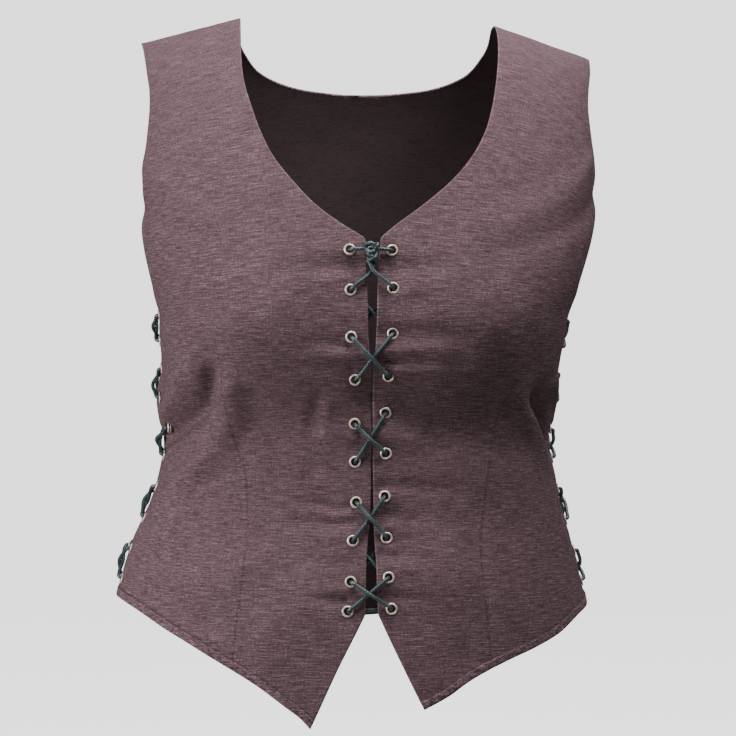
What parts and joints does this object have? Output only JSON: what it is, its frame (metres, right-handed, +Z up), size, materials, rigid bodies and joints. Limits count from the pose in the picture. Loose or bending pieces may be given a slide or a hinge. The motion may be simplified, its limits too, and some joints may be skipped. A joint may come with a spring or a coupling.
{
  "type": "medieval vest",
  "caption": "Sleeveless cloth vest with a scooped neck, laced at the front and both sides through metal eyelets, its front hem dropping to two points; open and hollow as worn.",
  "frame": {"origin": "midway between the shoulders at the height of the shoulder seams, where the wearer holds the vest up", "axes": "+Z up, the laced front faces -Y, +X towards the wearer's left side"},
  "size_m": [0.423, 0.302, 0.6121],
  "materials": {
    "cloth": "heathered plain-weave linen blend, dusty plum",
    "brass": "pale antique brass eyelets",
    "lace": "round braided cord, dark teal"
  },
  "bodies": {
    "root": {"front_right": "cloth", "front_left": "cloth", "back": "cloth", "eyelet_front_right_01": "brass", "eyelet_front_right_02": "brass", "eyelet_front_right_03": "brass", "eyelet_front_right_04": "brass", "eyelet_front_right_05": "brass", "eyelet_front_right_06": "brass", "eyelet_front_right_07": "brass", "eyelet_front_right_08": "brass", "eyelet_front_right_09": "brass", "eyelet_front_right_10": "brass", "eyelet_front_left_01": "brass", "eyelet_front_left_02": "brass", "eyelet_front_left_03": "brass", "eyelet_front_left_04": "brass", "eyelet_front_left_05": "brass", "eyelet_front_left_06": "brass", "eyelet_front_left_07": "brass", "eyelet_front_left_08": "brass", "eyelet_front_left_09": "brass", "eyelet_front_left_10": "brass", "eyelet_side_right_01": "brass", "eyelet_side_right_02": "brass", "eyelet_side_right_03": "brass", "eyelet_side_right_04": "brass", "eyelet_side_right_05": "brass", "eyelet_side_right_06": "brass", "eyelet_side_right_07": "brass", "eyelet_side_right_08": "brass", "eyelet_side_right_09": "brass", "eyelet_side_right_10": "brass", "eyelet_side_left_01": "brass", "eyelet_side_left_02": "brass", "eyelet_side_left_03": "brass", "eyelet_side_left_04": "brass", "eyelet_side_left_05": "brass", "eyelet_side_left_06": "brass", "eyelet_side_left_07": "brass", "eyelet_side_left_08": "brass", "eyelet_side_left_09": "brass", "eyelet_side_left_10": "brass", "front_lace": "lace", "front_lace_knot": "lace", "front_lace_end_right": "lace", "front_lace_end_left": "lace", "side_lace_right": "lace", "side_lace_left": "lace"}
  },
  "joints": []
}
